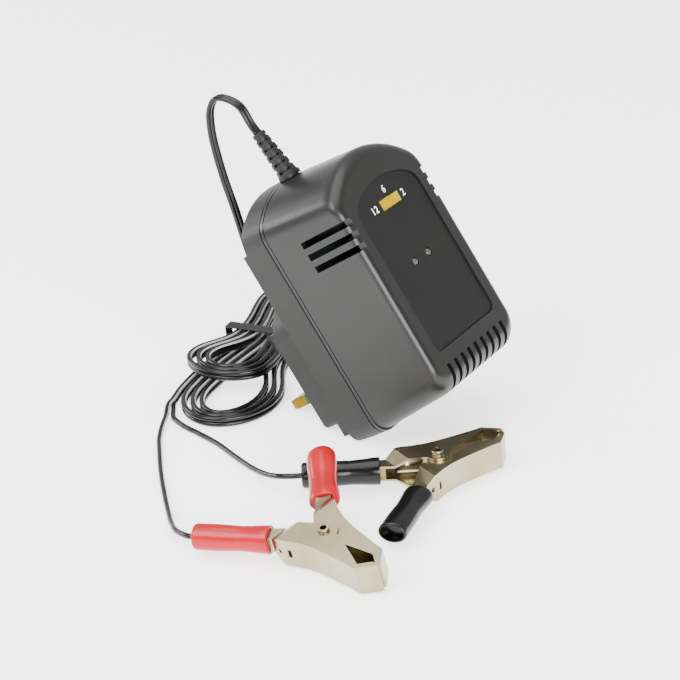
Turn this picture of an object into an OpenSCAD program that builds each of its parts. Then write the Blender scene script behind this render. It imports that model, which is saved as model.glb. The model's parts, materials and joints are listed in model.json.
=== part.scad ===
// Plug-in battery charger: a moulded case that plugs straight into a wall socket, a
// three-position voltage switch, two lamps, a twin flex wound into a hank, and a red
// and a black crocodile clip.  Millimetres, +Z up.  The case leans back on its lower
// rear edge and on the tips of its flat plug pins, as it does on a table.

/* [Case] */
// Width of the case
case_w = 58; // [54:1:66]
// Height of the case at the top of its arch
case_h = 98.5; // [94:0.5:106]
// Height of the lower edge at the parting line
case_low = 0.8; // [0.4:0.1:1.2]
// Height of the lower edge at the back, where the case rests
rear_low = 2.1; // [1.6:0.1:2.6]
// Depth from the rear pad to the front face
case_d = 50; // [48:1:58]
// Depth of the rear cover up to the parting line
rear_d = 12.5; // [11.5:0.5:14]
// Height of the raised pad on the rear cover
pad_rise = 2.4; // [1.6:0.2:2.8]
// Radius of the arched top
arch_r = 42; // [36:1:60]
// Radius of the shoulders under the arch
shoulder_r = 9; // [6:0.5:12]
// Radius of the bottom corners
foot_r = 7; // [4:0.5:9]
// Wall thickness of both covers
wall = 2.4; // [1.8:0.2:2.8]
// Drop of the top edge from the parting line to the front
top_draft = 2.6; // [1:0.2:4]
// Rise of the bottom edge from the parting line to the front
bottom_draft = 3; // [1:0.2:4]
// Narrowing of each side from the parting line to the front
side_draft = 0.5; // [0.2:0.1:1.2]
// Rounding of the front's side edges
side_round = 3.2; // [2:0.2:4]
// Rounding of the front's top edge
top_round = 5; // [3:0.2:6]
// Rounding of the front's lower edge
low_round = 6.6; // [4:0.2:8]
// Width of the dark groove along the parting line
groove_w = 0.5; // [0.3:0.1:0.8]
// Width of the raised strip beside the parting line
strip_w = 1.3; // [1:0.1:2]

/* [Front panel] */
// Width of the recessed label
label_w = 42; // [36:1:46]
// Height of the label's lower edge above the case bottom
label_low = 18.6; // [17:0.2:22]
// Height of the label's arched top above the case bottom
label_high = 83.2; // [80:0.2:86]
// Depth of the label recess
label_recess = 1; // [0.8:0.1:1.4]
// Thickness of the label plate
label_t = 0.4; // [0.3:0.05:0.6]
// Height of the two lamps above the case bottom
lamp_z = 50.2; // [46:0.2:56]
// Distance between the two lamps
lamp_gap = 9.2; // [8:0.2:14]
// Radius of a lamp
lamp_r = 1.5; // [1.25:0.05:2]

/* [Voltage switch] */
// Height of the switch above the case bottom
switch_z = 73.4; // [70:0.2:75]
// Width of the switch window
window_w = 11.2; // [10:0.2:13]
// Height of the switch window
window_h = 4; // [3.6:0.1:5]
// Width of the raised nub of the knob
nub_w = 4.6; // [3.6:0.2:5.6]
// Travel between two neighbouring positions
switch_step = 3.1; // [2.4:0.1:3.6]

/* [Vents] */
// Number of vent slots in each side
side_vents = 3; // [2:1:4]
// Distance between side vent slots
side_pitch = 4.95; // [4.4:0.05:6]
// Height of one side vent slot
side_slot = 2.5; // [1.6:0.1:3]
// Height of the lower edge of the top side slot
side_top = 74.6; // [72:0.2:77]
// Depth from the rear pad to the rear end of the side slots
side_rear = 27.2; // [24:0.2:32]
// Height of the upper end of the bottom slots on the front face
bottom_top = 13.6; // [12:0.2:15]
// Number of vent slots along the bottom edge
bottom_vents = 9; // [5:1:11]
// Distance between bottom vent slots
bottom_pitch = 4.8; // [3.8:0.1:5]
// Width of one bottom vent slot
bottom_slot = 2; // [1.4:0.1:2.6]

/* [Plug] */
// Half of the plug block's width
boss_half = 23.8; // [23.8:0.1:25.5]
// How far the plug block stands out of the rear pad
boss_d = 12.8; // [10:0.2:16]
// Height of the plug block's lower edge above the case bottom
boss_low = 10.5; // [8:0.5:13]
// Height of the plug block's rounded top above the case bottom
boss_high = 61.5; // [60:0.5:68]
// Height of the two flat pins above the case bottom
pin_z = 22.7; // [22:0.1:25]
// Length of a flat pin
pin_len = 17.7; // [17:0.1:18.2]
// Length of the long earth pin
earth_len = 22.7; // [22.2:0.1:23.2]

/* [Flex] */
// Thickness of one core of the flex
core_d = 2.1; // [1.8:0.1:2.4]
// Length of the strain relief above the case
relief_len = 20; // [16:1:24]
// Backward bend of the strain relief
relief_bend = 8; // [0:1:12]

/* [Clips] */
// Width of a clip across its cheeks
clip_w = 12; // [11:0.2:13]
// Distance from the rivet to the biting edge
jaw_len = 28; // [25:0.5:32]
// Distance from the rivet to the end of a handle sleeve
handle_len = 48.8; // [44:0.2:54]
// Angle between the cable handle and the line of the jaws
cable_angle = 32; // [28:1:36]
// Angle between the free handle and the line of the jaws
free_angle = 38; // [34:1:42]
// Thickness of the nickel-plated sheet
sheet = 0.8; // [0.6:0.05:0.9]
// Radius of the hollow rivet's shank
rivet_r = 1.6; // [1.4:0.05:1.8]
// Diameter of a clip's cable sleeve
sleeve_d = 9.3; // [8.8:0.1:9.8]
// Length of a clip's sleeve
sleeve_len = 28; // [24:0.5:30]

/* [Hidden] */
$fn = 48;

// Clearances: running is a turning or sliding fit, slack is a loose seat.
running = 0.05;
slack = 0.1;
eps = 0.01;
// The front cover's lower face lies this much above its strip.
strip_rise = 0.6;

// Colours
grey_abs = "#5c5c5a";
dark_abs = "#3f3f3d";
black_pvc = "#1b1b1b";
red_pvc = "#e8474a";
nickel = "#c9c4b4";
brass = "#b8963c";
yellow = "#f0b81e";
board_green = "#3c6b45";

// Depths in the upright case: y = 0 is the rear pad, the front face is at -case_d.
parting_y = -rear_d;
face_y = -case_d;
front_wall = 3;
front_in = face_y + front_wall;
floor_y = face_y + label_recess;
boss_y = boss_d;
boss_wall = 3;

// Plug pins, sized as the socket needs them
pin_w = 6.35;
pin_h = 4;
pin_half_gap = 11.1;
earth_w = 4;
earth_h = 8;
earth_rise = 22.2;
pin_sleeve_len = 9.5;
pin_sleeve_wall = 0.4;
pin_flange = 1.2;
pin_tip = 2.4;
pin_tip_drop = 0.4;
earth_z = pin_z + earth_rise;

// The charger rests on its lower rear edge and on the lower corners of its pin tips.
rear_chamfer = 0.8;
slant = atan2(rear_low - case_low, rear_d);
rest_z = rear_low - rear_chamfer * tan(slant);
lean = atan2(pin_z - pin_h / 2 + pin_tip_drop - rest_z, boss_y + pin_len + rear_chamfer);
rest_drop = rest_z * cos(lean) + rear_chamfer * sin(lean);
// Y of the rear pad's plane, which centres the leaning charger on the origin
stand_y = -8.7;

// Boards and what they carry
board_t = 1.6;
main_y = -8;
main_front = main_y - board_t;
board_half = case_w / 2 - wall - 3;
board_low = wall + 2.2;
board_high = 70;
post_x = board_half - 3.6;
post_low = board_low + 3;
post_high = board_high - 4;
post_r = 2.6;
screw_r = 1.1;
screw_head_r = 2.2;
screw_head_t = 1.4;
control_front = front_in + 3.5;
control_y = control_front + board_t;
control_low = lamp_z - 8;
control_high = switch_z + 6;
control_half = 14;
control_post_x = control_half - 3;
control_post_z = (control_low + control_high) / 2;

// Case screws near the shoulders
case_screw_x = 18;
case_screw_z = post_high + 11;
case_screw_len = 13;

// Knob: a nub on a skirt that fills the window in each position
skirt_t = 1.1;
skirt_w = window_w + 4 * switch_step + 1;
skirt_h = window_h + 1.4;
skirt_back = floor_y + running + skirt_t;
stop_gap = 0.3;
stem_w = 3;
stem_h = 2;
nub_at = switch_step;
nub_out = 0.4;
switch_back = control_front;
switch_front = front_in + 0.2;

// Strain relief, set in the top of the front cover just before the parting line
relief_y = -15;
relief_base_r = 4.5;
relief_top_r = 2.6;
relief_neck_r = 3;
relief_core = core_d / 2 + 0.85;
relief_steps = 6;
arch_top = case_h - top_draft * (-relief_y - rear_d) / (case_d - rear_d);

// Clip details
cheek_gap = 0.1;
inner_w = clip_w - 2 * sheet - 2 * cheek_gap;
ear_r = 5;
eye_near = 10.6;
eye_far = jaw_len - 2.6;
eye_mid = jaw_len - 5.9;
nose_x = jaw_len - 5.3;
nose_half = 6.4;
handle_w = 6;
handle_t = 5.4;
handle_root = 19;
mouth_at = handle_len - sleeve_len;
pocket_len = sleeve_len - 4;
rivet_head_r = 2.1;
rivet_head_t = 0.5;
rivet_collar = 1.2;
rivet_bore = 1.15;
spring_wire = 1;
spring_r = 3;
spring_turns = 4;
spring_leg = 14.2;
free_sleeve_d = 10.4;
free_sleeve_t = 8;
sleeve_wall = 1;

// Places of the two clips on the table: x, y, turn about Z, tilt about the cable handle
black_at = [-42.8, -51.8];
black_turn = -27.4;
red_at = [-107.2, -46.8];
red_turn = -109.2;
red_tilt = 15.5;

// ---------------------------------------------------------------- outlines

function arc(c, r, from, to, n) =
    [for (i = [0:n]) [c.x + r * cos(from + (to - from) * i / n),
                      c.y + r * sin(from + (to - from) * i / n)]];

// Arched outline: straight sides, rounded lower corners, shoulders of radius sr that
// blend into an arch of radius ar, between the heights low and high.
function arched(half, low, high, ar, sr, br, n = 10) =
    let (ac = [0, high - ar],
         sc = [half - sr, ac.y + sqrt(pow(ar - sr, 2) - pow(half - sr, 2))],
         sa = atan2(sc.y - ac.y, sc.x))
    concat(arc([half - br, low + br], br, -90, 0, n),
           arc(sc, sr, 0, sa, n),
           arc(ac, ar, sa, 180 - sa, 2 * n),
           arc([-sc.x, sc.y], sr, 180 - sa, 180, n),
           arc([-half + br, low + br], br, 180, 270, n));

// Outline of the case, drawn in on its sides, top and bottom
function case_outline(side = 0, top = 0, bottom = 0, foot = foot_r, n = 10) =
    arched(case_w / 2 - side, case_low + bottom, case_h - top, arch_r - top,
           max(shoulder_r - side, 1.5), max(foot - side, 1), n);

function boss_outline(inset = 0) =
    arched(boss_half - inset, boss_low + inset, boss_high - inset, 30 - inset,
           14 - inset, 2.5 - min(inset, 1.5), 8);

function label_outline(inset = 0) =
    arched(label_w / 2 - inset, label_low + inset, label_high - inset, arch_r - 2 - inset,
           7.5 - inset, 2.6 - inset, 8);

// Upright slab with the given outline in X and Z, from one depth to another
module slab(points, from, to) {
    translate([0, max(from, to), 0])
        rotate([90, 0, 0])
            linear_extrude(abs(to - from))
                polygon(points);
}

module box(x, y, z) {
    translate([x[0], y[0], z[0]])
        cube([x[1] - x[0], y[1] - y[0], z[1] - z[0]]);
}

// Cylinder along Y from one depth to another
module peg(x, z, r, from, to) {
    translate([x, max(from, to), z])
        rotate([90, 0, 0])
            cylinder(r = r, h = abs(to - from));
}

// Lays the upright charger back on its lower rear edge and its pins
module leaning() {
    translate([0, stand_y, -rest_drop])
        rotate([-lean, 0, 0])
            children();
}

// The same lean for a point and for a direction
function case_way(v) =
    [v.x, v.y * cos(lean) + v.z * sin(lean), v.z * cos(lean) - v.y * sin(lean)];
function case_point(p) = case_way(p) + [0, stand_y, -rest_drop];

// ---------------------------------------------------------------- front cover

// Inset of a rounded edge at the given distance behind the front face
function rounded(r, back) =
    back >= r ? 0 : r - sqrt(max(r * r - pow(r - back, 2), 0));

// Outline of the front cover at a distance behind its face
module front_slice(back, inset) {
    k = (case_d - rear_d - back) / (case_d - rear_d);
    slab(case_outline(side_draft * k + rounded(side_round, back) + inset,
                      top_draft * k + rounded(top_round, back) + inset,
                      strip_rise + bottom_draft * k + rounded(low_round, back) + inset,
                      foot_r + 2 * k),
         face_y + inset + back, face_y + inset + back + eps);
}

// Drafted and round-edged body, drawn in by a wall thickness for its cavity
module front_body(inset = 0) {
    hull() {
        front_slice(case_d - rear_d - inset - eps, inset);
        for (back = [0, 0.2, 0.6, 1.2, 2, 3, 4.4, low_round])
            front_slice(back, inset);
    }
}

module side_slots() {
    for (side = [-1, 1])
        for (i = [0:side_vents - 1])
            translate([side * (case_w / 2 + 1), 0, side_top - i * side_pitch])
                mirror([side > 0 ? 1 : 0, 0, 0])
                    box([0, 5], [face_y - 1, -side_rear], [0, side_slot]);
}

module bottom_slots() {
    for (i = [0:bottom_vents - 1])
        translate([(i - (bottom_vents - 1) / 2) * bottom_pitch, 0, 0])
            box([-bottom_slot / 2, bottom_slot / 2], [face_y - 1, face_y + 10],
                [-1, bottom_top]);
}

module lamp_places() {
    for (x = [-lamp_gap / 2, lamp_gap / 2])
        translate([x, 0, lamp_z])
            children();
}

module control_posts() {
    for (x = [-control_post_x, control_post_x])
        peg(x, control_post_z, 2.4, front_in - 0.5, control_front);
}

module case_posts() {
    for (x = [-case_screw_x, case_screw_x])
        difference() {
            peg(x, case_screw_z, 3.4, parting_y, front_in - 0.5);
            peg(x, case_screw_z, screw_r, parting_y + 1, parting_y - case_screw_len);
        }
}

module front_cover() {
    color(dark_abs)
        leaning()
            difference() {
                union() {
                    difference() {
                        union() {
                            front_body();
                            slab(case_outline(), parting_y, parting_y - strip_w);
                        }
                        // cavity
                        difference() {
                            front_body(wall);
                            box([-case_w, case_w], [face_y - 1, front_in], [-1, case_h + 1]);
                        }
                        slab(case_outline(wall, wall, wall), parting_y + 1, parting_y - 4);
                        // rebate for the rear cover's tongue
                        slab(case_outline(wall - 1.1, wall - 1.1, wall - 1.1),
                             parting_y + 1, parting_y - 3.1);
                        // fine line that sets off the strip
                        difference() {
                            slab(case_outline(-1, -1, -1), parting_y - strip_w,
                                 parting_y - strip_w - 0.3);
                            slab(case_outline(0.35, 0.35, 0.35), parting_y - strip_w + 1,
                                 parting_y - strip_w - 1);
                        }
                    }
                    case_posts();
                    control_posts();
                }
                slab(label_outline(), floor_y, face_y - 1);
                side_slots();
                bottom_slots();
                // pocket for the knob's skirt, slot for its stem
                box([-skirt_w / 2 - switch_step - stop_gap, skirt_w / 2 + switch_step + stop_gap],
                    [face_y - 1, skirt_back + slack],
                    [switch_z - skirt_h / 2 - slack, switch_z + skirt_h / 2 + slack]);
                box([-stem_w / 2 - 2 * switch_step, stem_w / 2 + 2 * switch_step],
                    [face_y - 1, front_in + 1],
                    [switch_z - stem_h / 2 - 0.2, switch_z + stem_h / 2 + 0.2]);
                lamp_places()
                    peg(0, 0, lamp_r + slack, face_y - 1, front_in + 1);
                for (x = [-control_post_x, control_post_x])
                    peg(x, control_post_z, screw_r, front_in + 0.5, control_front + 1);
                // open notch that the strain relief drops into
                translate([0, relief_y, case_h - 12])
                    cylinder(r = relief_neck_r + 2 * slack, h = 20);
                box([-relief_neck_r - 2 * slack, relief_neck_r + 2 * slack],
                    [relief_y, parting_y + 1],
                    [case_h - 12, case_h + 8]);
                translate([0, relief_y, case_h - 12])
                    cylinder(r = relief_base_r + slack, h = 12 - wall - 1.2);
                translate([0, relief_y, arch_top])
                    cylinder(r = relief_base_r + slack, h = 5);
            }
}

// ---------------------------------------------------------------- rear cover

module rear_shell() {
    difference() {
        union() {
            // main shell and its raised pad
            slab(case_outline(), parting_y, -pad_rise);
            intersection() {
                slab(case_outline(0.25, 0.25, 0.25), -pad_rise - eps, 0);
                box([-case_w, case_w], [-case_d, 1], [-1, boss_high + 20.6]);
            }
            // tongue that enters the front cover
            difference() {
                slab(case_outline(wall - 1, wall - 1, wall - 1), parting_y, parting_y - 3);
                box([-relief_base_r - 1, relief_base_r + 1], [-case_d, 0],
                    [case_h - 14, case_h]);
            }
            // plug block with the low step under it
            slab(boss_outline(), -1, boss_y);
            box([-boss_half - 2.6, boss_half + 2.6], [-1, 4.4],
                [boss_low - 4.6, boss_low + 1]);
            // half-round grip rib across the back of the arch
            translate([-case_w / 2 + 2.2, -pad_rise, boss_high + 22.6])
                rotate([0, 90, 0])
                    cylinder(r = 1.1, h = case_w - 4.4);
        }
        // main cavity
        slab(case_outline(wall, wall, wall), parting_y - 5, -pad_rise - wall);
        // cavity behind the pad and in the plug block
        slab(boss_outline(wall), -pad_rise - wall - 1, boss_y - boss_wall);
        // dark groove along the parting line
        difference() {
            slab(case_outline(-1, -1, -1), parting_y - eps, parting_y + groove_w);
            slab(case_outline(0.7, 0.7, 0.7), parting_y - 1, parting_y + groove_w + 1);
        }
        // lower face that rises towards the back, with a chamfered edge
        translate([0, parting_y, case_low])
            rotate([slant, 0, 0])
                translate([-case_w, 0, -20])
                    cube([case_w * 2, 40, 20]);
        rotate([90, 0, 90])
            linear_extrude(case_w * 2, center = true)
                polygon([[-rear_chamfer, rest_z], [1, rear_low + rear_chamfer + 1],
                         [1, -1], [-rear_chamfer, -1]]);
    }
}

module board_posts() {
    for (x = [-post_x, post_x])
        for (z = [post_low, post_high])
            difference() {
                peg(x, z, post_r, -wall, main_y);
                peg(x, z, screw_r, -wall - 0.6, main_y - 1);
            }
}

module rear_cover() {
    color(grey_abs)
        leaning()
            difference() {
                union() {
                    rear_shell();
                    board_posts();
                    for (x = [-case_screw_x, case_screw_x])
                        peg(x, case_screw_z, 3.4, -pad_rise - wall + 0.5, parting_y);
                }
                // screw holes with sunk heads
                for (x = [-case_screw_x, case_screw_x]) {
                    peg(x, case_screw_z, screw_r + slack, 1, parting_y - 1);
                    peg(x, case_screw_z, screw_head_r + 0.2, 1, -3.6);
                }
                // pin slots through the face of the plug block
                for (x = [-pin_half_gap, pin_half_gap])
                    box([x - pin_w / 2, x + pin_w / 2], [0, boss_y + 1],
                        [pin_z - pin_h / 2, pin_z + pin_h / 2]);
                box([-earth_w / 2, earth_w / 2], [0, boss_y + 1],
                    [earth_z - earth_h / 2, earth_z + earth_h / 2]);
                // the strain relief's collar sits in front of the tongue
                translate([0, relief_y, case_h - 14])
                    cylinder(r = relief_base_r + slack, h = 16);
            }
}

// ---------------------------------------------------------------- plug pins

// Blade whose tip is chamfered on its four edges, by less across its height
module blade(w, h, from, to, tip, drop) {
    intersection() {
        linear_extrude(2 * h, center = true)
            polygon([[-w / 2, from], [w / 2, from], [w / 2, to - tip],
                     [w / 2 - tip * 0.45, to], [-w / 2 + tip * 0.45, to],
                     [-w / 2, to - tip]]);
        rotate([90, 0, 90])
            linear_extrude(2 * w, center = true)
                polygon([[from, -h / 2], [from, h / 2], [to - tip, h / 2],
                         [to, h / 2 - drop], [to, -h / 2 + drop],
                         [to - tip, -h / 2]]);
    }
}

module flat_pin(x) {
    neck = pin_sleeve_wall;
    color(brass)
        leaning()
            translate([x, 0, pin_z]) {
                difference() {
                    blade(pin_w, pin_h, boss_y - boss_wall, boss_y + pin_len, pin_tip,
                          pin_tip_drop);
                    difference() {
                        box([-pin_w, pin_w], [boss_y, boss_y + pin_sleeve_len],
                            [-pin_h, pin_h]);
                        box([-pin_w / 2 + neck, pin_w / 2 - neck],
                            [boss_y - 1, boss_y + pin_sleeve_len + 1],
                            [-pin_h / 2 + neck, pin_h / 2 - neck]);
                    }
                }
                // flange behind the wall, and the tail that is soldered to the board
                box([-pin_w / 2 - 0.8, pin_w / 2 + 0.8],
                    [boss_y - boss_wall - pin_flange, boss_y - boss_wall],
                    [-pin_h / 2 - 0.8, pin_h / 2 + 0.8]);
                box([-1.5, 1.5], [main_y, boss_y - boss_wall - pin_flange], [-0.8, 0.8]);
            }
}

module live_pin() {
    flat_pin(-pin_half_gap);
}

module neutral_pin() {
    flat_pin(pin_half_gap);
}

module pin_sleeves() {
    color(black_pvc)
        leaning()
            for (x = [-pin_half_gap, pin_half_gap])
                translate([x, 0, pin_z])
                    difference() {
                        box([-pin_w / 2, pin_w / 2], [boss_y, boss_y + pin_sleeve_len],
                            [-pin_h / 2, pin_h / 2]);
                        box([-pin_w / 2 + pin_sleeve_wall, pin_w / 2 - pin_sleeve_wall],
                            [boss_y - 1, boss_y + pin_sleeve_len + 1],
                            [-pin_h / 2 + pin_sleeve_wall, pin_h / 2 - pin_sleeve_wall]);
                    }
}

module earth_pin() {
    color(black_pvc)
        leaning()
            translate([0, 0, earth_z]) {
                blade(earth_w, earth_h, boss_y - boss_wall, boss_y + earth_len, 3, 1.2);
                box([-earth_w / 2 - 1, earth_w / 2 + 1],
                    [boss_y - boss_wall - 2, boss_y - boss_wall],
                    [-earth_h / 2 - 1, earth_h / 2 + 1]);
            }
}

module case_screws() {
    color("silver")
        leaning()
            for (x = [-case_screw_x, case_screw_x]) {
                peg(x, case_screw_z, screw_head_r, -3.6 + screw_head_t, -3.6);
                peg(x, case_screw_z, screw_r, -3.6 + eps, parting_y - case_screw_len + 1);
            }
}

// ---------------------------------------------------------------- front panel

module label_plate() {
    color("#2c2c2b")
        leaning()
            difference() {
                slab(label_outline(slack), floor_y - label_t, floor_y);
                box([-window_w / 2, window_w / 2], [face_y - 1, floor_y + 1],
                    [switch_z - window_h / 2, switch_z + window_h / 2]);
                lamp_places()
                    peg(0, 0, lamp_r + slack, face_y - 1, floor_y + 1);
            }
}

// Round-nosed lamp with a flange and two legs, pointing forward
module lamp(x) {
    nose = face_y + label_recess - label_t - 0.5;
    flange_y = front_in + 1.2;
    color("#b9b9b4")
        leaning()
            translate([x, 0, lamp_z]) {
                translate([0, flange_y, 0])
                    rotate([90, 0, 0])
                        rotate_extrude()
                            polygon(concat([[0, 0], [lamp_r + 0.4, 0], [lamp_r + 0.4, 1],
                                            [lamp_r, 1]],
                                           arc([0, flange_y - nose - lamp_r], lamp_r, 0, 90, 8)));
                for (z = [-0.9, 0.9])
                    peg(0, z, 0.25, flange_y - eps, control_front);
            }
}

module charge_lamp() {
    lamp(-lamp_gap / 2);
}

module polarity_lamp() {
    lamp(lamp_gap / 2);
}

module switch_body() {
    half = stem_w / 2 + 2 * switch_step + 2;
    color("#8a8a88")
        leaning()
            difference() {
                box([-half, half], [switch_front, switch_back],
                    [switch_z - 3.2, switch_z + 3.2]);
                box([-half + 1.6, half - 1.6], [switch_front - 1, switch_back - 0.8],
                    [switch_z - stem_h / 2 - 0.2, switch_z + stem_h / 2 + 0.2]);
            }
}

module switch_knob() {
    color(yellow)
        leaning()
            translate([0, 0, switch_z]) {
                // skirt
                box([nub_at - skirt_w / 2, nub_at + skirt_w / 2],
                    [floor_y + running, skirt_back], [-skirt_h / 2, skirt_h / 2]);
                // nub with grip grooves
                difference() {
                    box([nub_at - nub_w / 2, nub_at + nub_w / 2],
                        [face_y - nub_out, floor_y + skirt_t / 2],
                        [-window_h / 2 + 0.15, window_h / 2 - 0.15]);
                    for (i = [-1:1])
                        box([nub_at + i * 1.2 - 0.25, nub_at + i * 1.2 + 0.25],
                            [face_y - nub_out - 1, face_y - nub_out + 0.3],
                            [-window_h, window_h]);
                }
                // stem into the switch
                box([nub_at - stem_w / 2, nub_at + stem_w / 2],
                    [floor_y + skirt_t / 2, switch_back - 1.1], [-stem_h / 2, stem_h / 2]);
            }
}

// ---------------------------------------------------------------- boards

module main_board() {
    color(board_green)
        leaning()
            difference() {
                box([-board_half, board_half], [main_front, main_y],
                    [board_low, board_high]);
                for (x = [-post_x, post_x])
                    for (z = [post_low, post_high])
                        peg(x, z, screw_r + slack, main_y + 1, main_front - 1);
            }
}

module control_board() {
    color(board_green)
        leaning()
            difference() {
                box([-control_half, control_half], [control_front, control_y],
                    [control_low, control_high]);
                for (x = [-control_post_x, control_post_x])
                    peg(x, control_post_z, screw_r + slack, control_y + 1,
                        control_front - 1);
            }
}

// Flat bundle of wires between the two boards
module board_link() {
    color("#c8c8c2")
        leaning()
            for (i = [-3:3])
                peg(i * 1.3, control_low + 3, 0.6, main_front, control_y);
}

// Pan-head screw whose head bears on a board face, shank towards the post
module pan_screw(x, z, face, to) {
    away = face > to ? 1 : -1;
    peg(x, z, screw_head_r, face, face + away * screw_head_t);
    peg(x, z, screw_r - 0.05, face + away * eps, to);
}

module board_screws() {
    color("silver")
        leaning() {
            for (x = [-post_x, post_x])
                for (z = [post_low, post_high])
                    pan_screw(x, z, main_front, main_y + 3);
            for (x = [-control_post_x, control_post_x])
                pan_screw(x, control_post_z, control_y, control_front - 3);
        }
}

core_z = 33;
core_x = 7;
core_half = 9.5;
core_tall = 8;
core_deep = 14;
core_leg = 2.6;
core_gap = 0.4;
can_in = [-board_half + 9.6, 22];
can_in_r = 5;
can_in_h = 18;
can_out = [board_half - 9.6, 60];
can_out_r = 4;
can_out_h = 13;
bridge_size = [9, 3.4, 7];
bridge_at = [8, 17];
sink_x = -board_half + 1.6;
sink_low = 34;
sink_h = 18;
sink_d = 16;
sink_fin = 3;
sink_t = 1.4;
part_size = [4.2, 9, 9];
part_z = 39;
fuse_r = 1.7;
fuse_len = 7;
fuse_at = [-2, 14];

// Ferrite core: an outer frame round the winding
module transformer_core() {
    color("#33302e")
        leaning()
            translate([core_x, main_front - 1, core_z])
                difference() {
                    box([-core_half, core_half], [-core_deep - 1, -1],
                        [-core_tall, core_tall]);
                    box([-core_half + core_leg, core_half - core_leg], [-core_deep - 2, 1],
                        [-core_tall + core_leg - 0.2, core_tall - core_leg + 0.2]);
                }
}

module transformer_winding() {
    inner = core_half - core_leg - core_gap;
    color("#c9a227")
        leaning()
            translate([core_x, main_front, core_z]) {
                box([-inner, inner], [-core_deep - 0.6, -1.4],
                    [-core_tall + core_leg + 0.1, core_tall - core_leg - 0.1]);
                box([-core_half + 1, core_half - 1], [-1.6, 0],
                    [-core_tall + 1, core_tall - 1]);
            }
}

// Electrolytic capacitor standing on the board
module can(at, r, h) {
    translate([at.x, main_front, at.y])
        rotate([90, 0, 0]) {
            cylinder(r = r - 0.4, h = 1.2);
            translate([0, 0, 1])
                cylinder(r = r, h = h - 1);
        }
}

module input_capacitor() {
    color("#26324a")
        leaning()
            can(can_in, can_in_r, can_in_h);
}

module output_capacitor() {
    color("#26324a")
        leaning()
            can(can_out, can_out_r, can_out_h);
}

module rectifier() {
    color("#202020")
        leaning()
            box([bridge_at.x, bridge_at.x + bridge_size.x],
                [main_front - bridge_size.y, main_front],
                [bridge_at.y, bridge_at.y + bridge_size.z]);
}

module heat_sink() {
    back = sink_x + sink_fin;
    color("silver")
        leaning() {
            box([back, back + sink_t], [main_front - sink_d, main_front],
                [sink_low, sink_low + sink_h]);
            for (i = [0:2])
                translate([0, 0, sink_low + 1 + i * (sink_h / 2 - 1)])
                    box([sink_x, back + 1], [main_front - sink_d, main_front], [-0.5, 0.5]);
        }
}

// Power transistor flat on the heat sink, with three legs to the board
module switching_transistor() {
    left = sink_x + sink_fin + sink_t;
    color("#202020")
        leaning() {
            box([left, left + part_size.x],
                [main_front - 4 - part_size.y, main_front - 4],
                [part_z, part_z + part_size.z]);
            for (i = [-1:1])
                translate([left + part_size.x / 2, 0, part_z + part_size.z / 2 + i * 2.5])
                    box([-0.4, 0.4], [main_front - 4.1, main_front], [-0.4, 0.4]);
        }
}

module fuse_resistor() {
    color("#7c8f6a")
        leaning()
            translate([fuse_at.x, main_front - fuse_r, fuse_at.y])
                rotate([0, 90, 0])
                    cylinder(r = fuse_r, h = fuse_len, center = true);
}

// ---------------------------------------------------------------- strain relief

// Ribbed grommet: a collar on the case, then rings that shrink towards the flex, each
// pair joined by a core and by two bridges that turn by a quarter from ring to ring.
module strain_relief() {
    step = (relief_len - 2) / relief_steps;
    function ring_r(i) =
        relief_base_r - 0.5 - (relief_base_r - 0.5 - relief_top_r) * i / relief_steps;
    color(black_pvc)
        leaning()
            translate([0, relief_y, arch_top]) {
                cylinder(r = relief_base_r, h = 1.8);
                // neck in the notch, and the flange under the wall
                translate([0, 0, -wall - 1.6])
                    cylinder(r = relief_neck_r, h = wall + 2);
                translate([0, 0, -wall - 2.4])
                    cylinder(r = relief_base_r - 0.2, h = 1.6);
                rotate([-relief_bend, 0, 0]) {
                    cylinder(r = relief_core, h = relief_len);
                    for (i = [0:relief_steps - 1])
                        translate([0, 0, 2 + i * step]) {
                            translate([0, 0, step * 0.45])
                                cylinder(r = ring_r(i), h = step * 0.55);
                            rotate([0, 0, i % 2 * 90])
                                box([-ring_r(i) + 0.2, ring_r(i) - 0.2], [-0.7, 0.7],
                                    [-0.3, step * 0.6]);
                        }
                }
            }
}

// ---------------------------------------------------------------- places of the clips

// Points along a handle: distance out from the rivet, then offset away from the middle
function on_handle(angle, out, off) =
    [-out * cos(angle) + off * sin(angle), -out * sin(angle) - off * cos(angle)];

// A clip lies on the table, tilted about the underside of its cable handle and its tip.
cable_end = on_handle(cable_angle, handle_len, 0);
tilt_axis = atan2(-3 - cable_end.y, jaw_len - cable_end.x);
clip_base = clip_w / 2 + rivet_head_t;

function turn_z(p, a) = [p.x * cos(a) - p.y * sin(a), p.x * sin(a) + p.y * cos(a), p.z];
function turn_x(p, a) = [p.x, p.y * cos(a) - p.z * sin(a), p.y * sin(a) + p.z * cos(a)];
function flipped(p, flip) = [p.x, flip ? -p.y : p.y, p.z];

// Place and direction on a clip, in the clip's own measures, carried to the table
function clip_way(v, turn, tilt, flip) =
    turn_z(turn_x(turn_z(flipped(v, flip), -tilt_axis), tilt), turn + tilt_axis);
function clip_point(p, at, turn, tilt, flip) =
    let (pivot = [cable_end.x, cable_end.y, -clip_w / 2])
    [at.x, at.y, clip_base] + turn_z(pivot, turn)
        + clip_way(flipped(p, flip) - pivot, turn, tilt, false);

// Where each lead meets its clip's cable sleeve, and the way out of the sleeve
sleeve_end = on_handle(cable_angle, handle_len, 0);
red_tail = clip_point([sleeve_end.x, sleeve_end.y, 0], red_at, red_turn, red_tilt, false);
red_out = clip_way([-cos(cable_angle), -sin(cable_angle), 0], red_turn, red_tilt, false);
black_tail = clip_point([sleeve_end.x, sleeve_end.y, 0], black_at, black_turn, 0, true);
black_out = clip_way([-cos(cable_angle), -sin(cable_angle), 0], black_turn, 0, true);

// ---------------------------------------------------------------- flex

function unit(v) = v / norm(v);
function smooth(k) = let (c = min(max(k, 0), 1)) c * c * (3 - 2 * c);

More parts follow.
